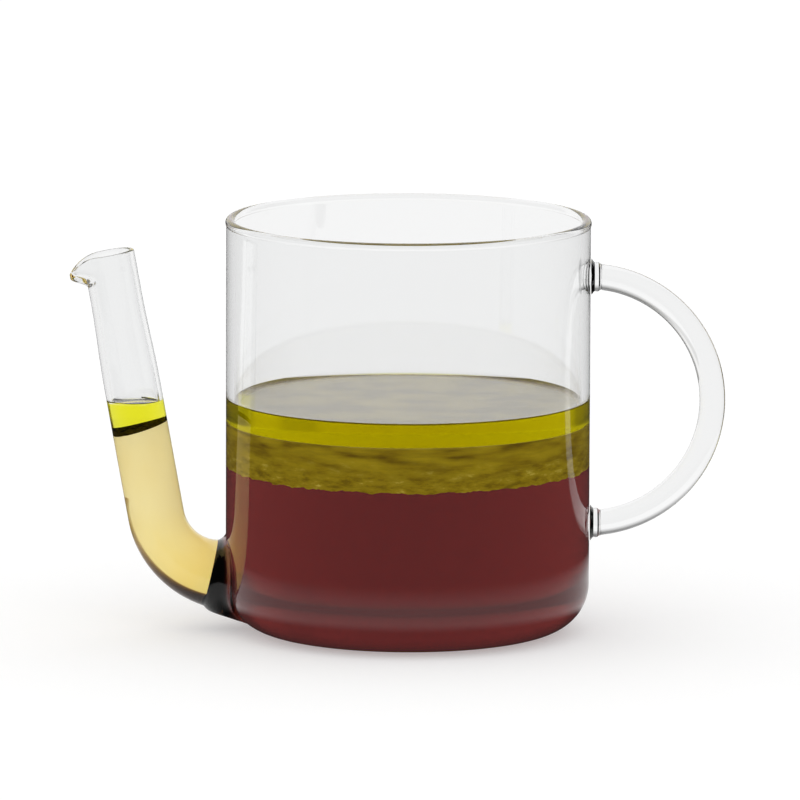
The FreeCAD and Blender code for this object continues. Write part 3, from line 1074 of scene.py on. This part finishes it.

# %% [markdown]
# The spout holds the same three layers in miniature: a plug of clear fat on top, pale cream through the
# stem, and a film of gravy that has crept up the outside of the bend from the port. All are parts of one
# column the shape of the bore. Planes and one rounded form cut that column into the three. A thin ring of
# painted shade lies under the plug, where the fat's edge bends the light away, and the plug has a skin on
# top, as the fat in the jug has.

# %% The column of liquid in the spout
cream_level = 63.8 * MM
cream_slant = math.radians(17.8)
film_rise = 2.1 * MM
film_side = 0.05 * MM
cream_run = (cream_level - bend_top.z) / math.cos(spout_lean)
cream_top = bend_top + up_spout * cream_run
cream_normal = Vector((-math.sin(cream_slant), 0, math.cos(cream_slant)))
film_centre = bend_centre + Vector((film_side, 0, film_rise))
film_radius = spout_bend + stem_radius - spout_wall
FORM_DEPTH = 60 * MM
FORM_HEIGHT = 90 * MM


def bore_column(name, inset, port_run):
    """The bore as a solid, from inside the port to well up the stem."""
    stops = [(port_place(port_run), root_tilt, root_radius - inset)] if port_run else []
    stops += bend_stops(inset) + stem_stops(inset, spout_wall)[:STEM_STEPS]
    column = draw_tube(name, stops, RING)
    close_ends(column)
    return column


def film_form(name, radius):
    """A rounded form that holds the cream: a trough below and a wide block above."""
    deselect_all()
    bpy.ops.mesh.primitive_cylinder_add(vertices=256, radius=radius, depth=FORM_DEPTH,
                                        location=film_centre, rotation=(math.pi / 2, 0, 0))
    piece = bpy.context.object
    piece.name = name
    bpy.ops.object.transform_apply(location=True, rotation=True, scale=True)
    edit(piece)
    bpy.ops.mesh.bisect(plane_co=film_centre, plane_no=(0, 0, 1), use_fill=True, clear_outer=True)
    bpy.ops.mesh.select_all(action="DESELECT")
    bpy.ops.mesh.select_mode(type="FACE")
    bpy.ops.object.mode_set(mode="OBJECT")
    for face in piece.data.polygons:
        face.select = face.normal.z > 0.99
    bpy.ops.object.mode_set(mode="EDIT")
    bpy.ops.mesh.extrude_region_move(TRANSFORM_OT_translate={"value": (0, 0, MM / 100)})
    bpy.ops.transform.resize(value=(2, 1, 1), center_override=film_centre)
    bpy.ops.mesh.extrude_region_move(TRANSFORM_OT_translate={"value": (0, 0, FORM_HEIGHT)})
    close_up(piece)
    return piece


liquid_inset = spout_wall + ease
cream = bore_column("spout_cream_fill", liquid_inset, 0)
slice_off(cream, cream_top - cream_normal * ease, cream_normal)
cream_form = film_form("cream_form", film_radius - ease)
carve(cream, cream_form, "INTERSECT")
close_up(cream)
shift(cream, -into_jug * ease)
finish_liquid(cream, cream_finish, "spout_cream")

film = bore_column("spout_gravy_fill", liquid_inset, weld_run)
slice_off(film, film_centre, (0, 0, 1))
film_tool = film_form("film_tool", film_radius)
slice_off(film_tool, root_point, into_jug)
carve(film, film_tool)
carve(film, hollow)
close_up(film)
finish_liquid(film, settled_gravy, "spout_gravy")
discard(cream_form, film_tool, hollow)

# %% The plug of fat and its surface
ring_depth = 1.4 * MM
plug_top_level = spout_fat_level - spout_meniscus
plug = bore_column("spout_fat_fill", liquid_inset, 0)
slice_off(plug, cream_top + cream_normal * (ring_depth + ease), -cream_normal)
slice_off(plug, (0, 0, plug_top_level - skin), (0, 0, 1))
finish_liquid(plug, fat_liquid, "spout_fat")

# A ring of painted shade under the plug of fat, where its edge bends the light away.
painted_shade_plug_ring = bore_column("spout_painted_shade_ring", liquid_inset, 0)
slice_off(painted_shade_plug_ring, cream_top + cream_normal * ease, -cream_normal)
slice_off(painted_shade_plug_ring, cream_top + cream_normal * ring_depth, cream_normal)
finish(painted_shade_plug_ring, [painted_shade_ring_finish])


def spout_surface():
    """The free surface in the leaning bore: a level disc stretched and sheared to fit."""
    run = (plug_top_level - bend_top.z) / math.cos(spout_lean)
    middle = bend_top + up_spout * run
    radius = tube_radius(plug_top_level) - liquid_inset
    edge = skin_profile(radius, -skin + ease, 0, spout_meniscus, 1.1 * MM, 24)
    piece = lathe("spout_fat_surface", edge, RING)
    for vertex in piece.data.vertices:
        height = vertex.co.z
        vertex.co.x = vertex.co.x / math.cos(spout_lean) - math.tan(spout_lean) * height
        vertex.co += middle
    return piece


plug_top = spout_surface()
finish_skin(plug_top, fat_skin, lambda face: face.normal.z > 0.05)

# %% [markdown]
# Glass is photographed against light. The object stands on a plain white floor under an even white
# sky, and what draws its outlines is what it sees to the sides: grey instead of white. Light Path tells
# the rays apart, so the background stays white for the camera, while rays that glass has bent or
# mirrored find it greyer towards the sides. Light on its way to or from a matt surface is always the
# plain white. The floor's own matt white still takes the shadow. Rays that glass has bent or mirrored
# find a painted shadow on the floor under the jug instead.

# %% The studio
# For each direction: degrees from straight behind the object, and a brightness.
THROUGH_GLASS = [(-180, 0.6), (180, 0.6), (-108, 0.6), (-102, 0.5), (-58, 0.5), (-50, 1.0),
                 (18, 1.0), (22, 0.8), (30, 0.8), (34, 1.0), (44, 1.0), (52, 0.35), (92, 0.35),
                 (100, 0.6)]
IN_REFLECTION = [(-180, 0.03), (180, 0.03), (-88, 0.03), (-78, 0.35), (-56, 0.4), (-47, 1.0),
                 (47, 1.0), (54, 0.25), (66, 0.03)]
# For the floor as glass shows it: millimetres across, back and away from the jug's axis, and a brightness.
# Under the jug these greys are a painted shadow, with a painted patch of light behind its middle.
PAINTED_SHADOW_ACROSS = [(-100, 0.0), (100, 0.0), (-32, 0.0), (-8, 1.0), (26, 1.0), (42, 0.0)]
PAINTED_SHADOW_BACK = [(-100, 0.05), (100, 0.9), (-8, 0.05), (20, 0.9)]
FLOOR_MIRRORED = [(0, 0.02), (400, 0.03), (60, 0.02), (68, 0.7), (130, 0.7), (170, 0.03)]
PAINTED_SHADOW_EDGE = [(0, 0.0), (400, 1.0), (57, 0.0), (61, 1.0)]
FLOOR_REACH = 400
UNDER_REACH = 100
FLOOR_BENT = 0.95
FLOOR_WHITE = 0.7
CAMERA_LIFT = 0.34


def greys(tree, share, stops):
    """A grey that follows a share along a ramp of places and brightnesses."""
    ramp = ramp_of(tree, [(place, (value,) * 3) for place, value in stops])
    tree.links.new(share, ramp.inputs["Fac"])
    return ramp.outputs["Color"]


def reckon(tree, operation, first, second):
    """One sum with two sockets, or with a socket and a number."""
    node = tree.nodes.new("ShaderNodeMath")
    node.operation = operation
    tree.links.new(first, node.inputs[0])
    if isinstance(second, float):
        node.inputs[1].default_value = second
    else:
        tree.links.new(second, node.inputs[1])
    return node.outputs["Value"]


def by_direction(tree, where, stops):
    """Brightness by compass direction."""
    turn = reckon(tree, "ARCTAN2", coordinate(tree, where, "X"), coordinate(tree, where, "Y"))
    share = share_between(tree, turn, -math.pi, math.pi)
    return greys(tree, share, [(0.5 + degrees / 360, value) for degrees, value in stops])


def by_distance(tree, where, stops):
    """Brightness by distance from the jug's axis."""
    flat = tree.nodes.new("ShaderNodeVectorMath")
    flat.operation = "LENGTH"
    tree.links.new(where, flat.inputs[0])
    share = share_between(tree, flat.outputs["Value"], 0, FLOOR_REACH * MM)
    return greys(tree, share, [(distance / FLOOR_REACH, value) for distance, value in stops])


def by_place(tree, where, axis, stops):
    """Brightness by one coordinate on the floor."""
    share = share_between(tree, coordinate(tree, where, axis), -UNDER_REACH * MM, UNDER_REACH * MM)
    return greys(tree, share, [(0.5 + place / (2 * UNDER_REACH), value) for place, value in stops])


def even_colour(tree, value):
    """A plain grey socket."""
    level = tree.nodes.new("ShaderNodeRGB")
    level.outputs[0].default_value = (value, value, value, 1)
    return level.outputs[0]


def scattered(tree, rays):
    """1 for light on its way to or from a matt surface, and 0 for the rest."""
    return reckon(tree, "GREATER_THAN", rays.outputs["Diffuse Depth"], 0.5)


def make_world():
    """A white sky, which glass shows greyer to the sides and darker overhead."""
    world = bpy.data.worlds.new("studio_sky")
    bpy.context.scene.world = world
    world.use_nodes = True
    tree = world.node_tree
    place = tree.nodes.new("ShaderNodeTexCoord")
    where = place.outputs["Generated"]
    rays = tree.nodes.new("ShaderNodeLightPath")
    white = even_colour(tree, 1.0)
    bent = by_direction(tree, where, THROUGH_GLASS)
    ceiling = share_between(tree, coordinate(tree, where, "Z"), 0.22, 0.55, 1, 0.25)
    bent = mix_colours(tree, ceiling, even_colour(tree, 0.0), bent)
    mirrored = by_direction(tree, where, IN_REFLECTION)
    seen = mix_colours(tree, rays.outputs["Is Glossy Ray"], white, mirrored)
    seen = mix_colours(tree, rays.outputs["Is Transmission Ray"], seen, bent)
    seen = mix_colours(tree, scattered(tree, rays), seen, white)
    tree.links.new(seen, tree.nodes["Background"].inputs["Color"])
    tree.nodes["Background"].inputs["Strength"].default_value = 1.0


def glowing(tree, colour):
    """A plain glow of a colour socket."""
    glow = tree.nodes.new("ShaderNodeEmission")
    tree.links.new(colour, glow.inputs["Color"])
    return glow.outputs["Emission"]


def choose(tree, factor, first, second):
    """The first shader where a factor is 0, and the second where it is 1."""
    mix = tree.nodes.new("ShaderNodeMixShader")
    tree.links.new(factor, mix.inputs["Fac"])
    tree.links.new(first, mix.inputs[1])
    tree.links.new(second, mix.inputs[2])
    return mix.outputs["Shader"]


def make_floor_finish():
    """Matt white that keeps its shadow, lifted to the page's white where the camera sees it. Rays that
    glass has bent or mirrored find set greys instead, with a painted shadow under the jug.
    """
    material, tree, shader = new_material("floor_white")
    shader.inputs["Base Color"].default_value = (FLOOR_WHITE, FLOOR_WHITE, FLOOR_WHITE, 1)
    shader.inputs["Roughness"].default_value = 1
    shader.inputs["Specular IOR Level"].default_value = 0
    where = tree.nodes.new("ShaderNodeTexCoord").outputs["Object"]
    rays = tree.nodes.new("ShaderNodeLightPath")
    lift = reckon(tree, "MULTIPLY", rays.outputs["Is Camera Ray"], CAMERA_LIFT)
    tree.links.new(lift, shader.inputs["Emission Strength"])
    shader.inputs["Emission Color"].default_value = (1, 1, 1, 1)
    # Painted shadow under the jug for rays that glass has bent, with a painted patch of light behind its
    # middle.
    under = reckon(tree, "MULTIPLY", by_place(tree, where, "X", PAINTED_SHADOW_ACROSS),
                   by_place(tree, where, "Y", PAINTED_SHADOW_BACK))
    beside = by_distance(tree, where, PAINTED_SHADOW_EDGE)
    bent = glowing(tree, mix_colours(tree, beside, under, even_colour(tree, FLOOR_BENT)))
    # Rays that glass mirrors find the floor painted dark near the jug: a painted shadow.
    mirrored = glowing(tree, by_distance(tree, where, FLOOR_MIRRORED))
    seen = choose(tree, rays.outputs["Is Glossy Ray"], shader.outputs["BSDF"], mirrored)
    through = reckon(tree, "SUBTRACT", rays.outputs["Is Transmission Ray"], scattered(tree, rays))
    through.node.use_clamp = True
    seen = choose(tree, through, seen, bent)
    tree.links.new(seen, tree.nodes["Material Output"].inputs["Surface"])
    return material


deselect_all()
floor_drop = 0.3 * MM
bpy.ops.mesh.primitive_plane_add(size=24, location=(0, 0, 0))
floor = bpy.context.object
floor.name = "studio_floor"
shift(floor, (0, 0, -floor_drop))
floor.data.materials.append(make_floor_finish())
make_world()
bpy.context.scene.view_settings.view_transform = "Standard"
bpy.context.scene.cycles.max_bounces = 64
bpy.context.scene.cycles.transmission_bounces = 64
bpy.context.scene.cycles.glossy_bounces = 32
print("floor and sky ready")

# %% [markdown]
# The photograph was taken from some way off with a long lens, a little above the rim of the jug, so its
# ellipses are narrow and its sides are nearly parallel. The camera repeats that view, with a slight
# roll, because the photograph's ellipses lean a little to the right.

# %% The camera
camera_distance = 4.0
camera_height_angle = math.radians(8.93)
camera_roll = math.radians(0.2)
aim = Vector((-2.5 * MM, 0, 73.2 * MM))
back = Vector((0, -math.cos(camera_height_angle), math.sin(camera_height_angle)))
bpy.ops.object.camera_add(location=aim + back * camera_distance)
camera = bpy.context.object
camera.name = "studio_camera"
camera.data.lens = 569.7
camera.data.sensor_width = 36
camera.data.clip_start = 0.1
camera.data.clip_end = 100
camera.rotation_mode = "QUATERNION"
camera.rotation_quaternion = (-back).to_track_quat("-Z", "Y") @ Quaternion((0, 0, 1), camera_roll)
bpy.context.scene.camera = camera
print("camera at", camera.location)
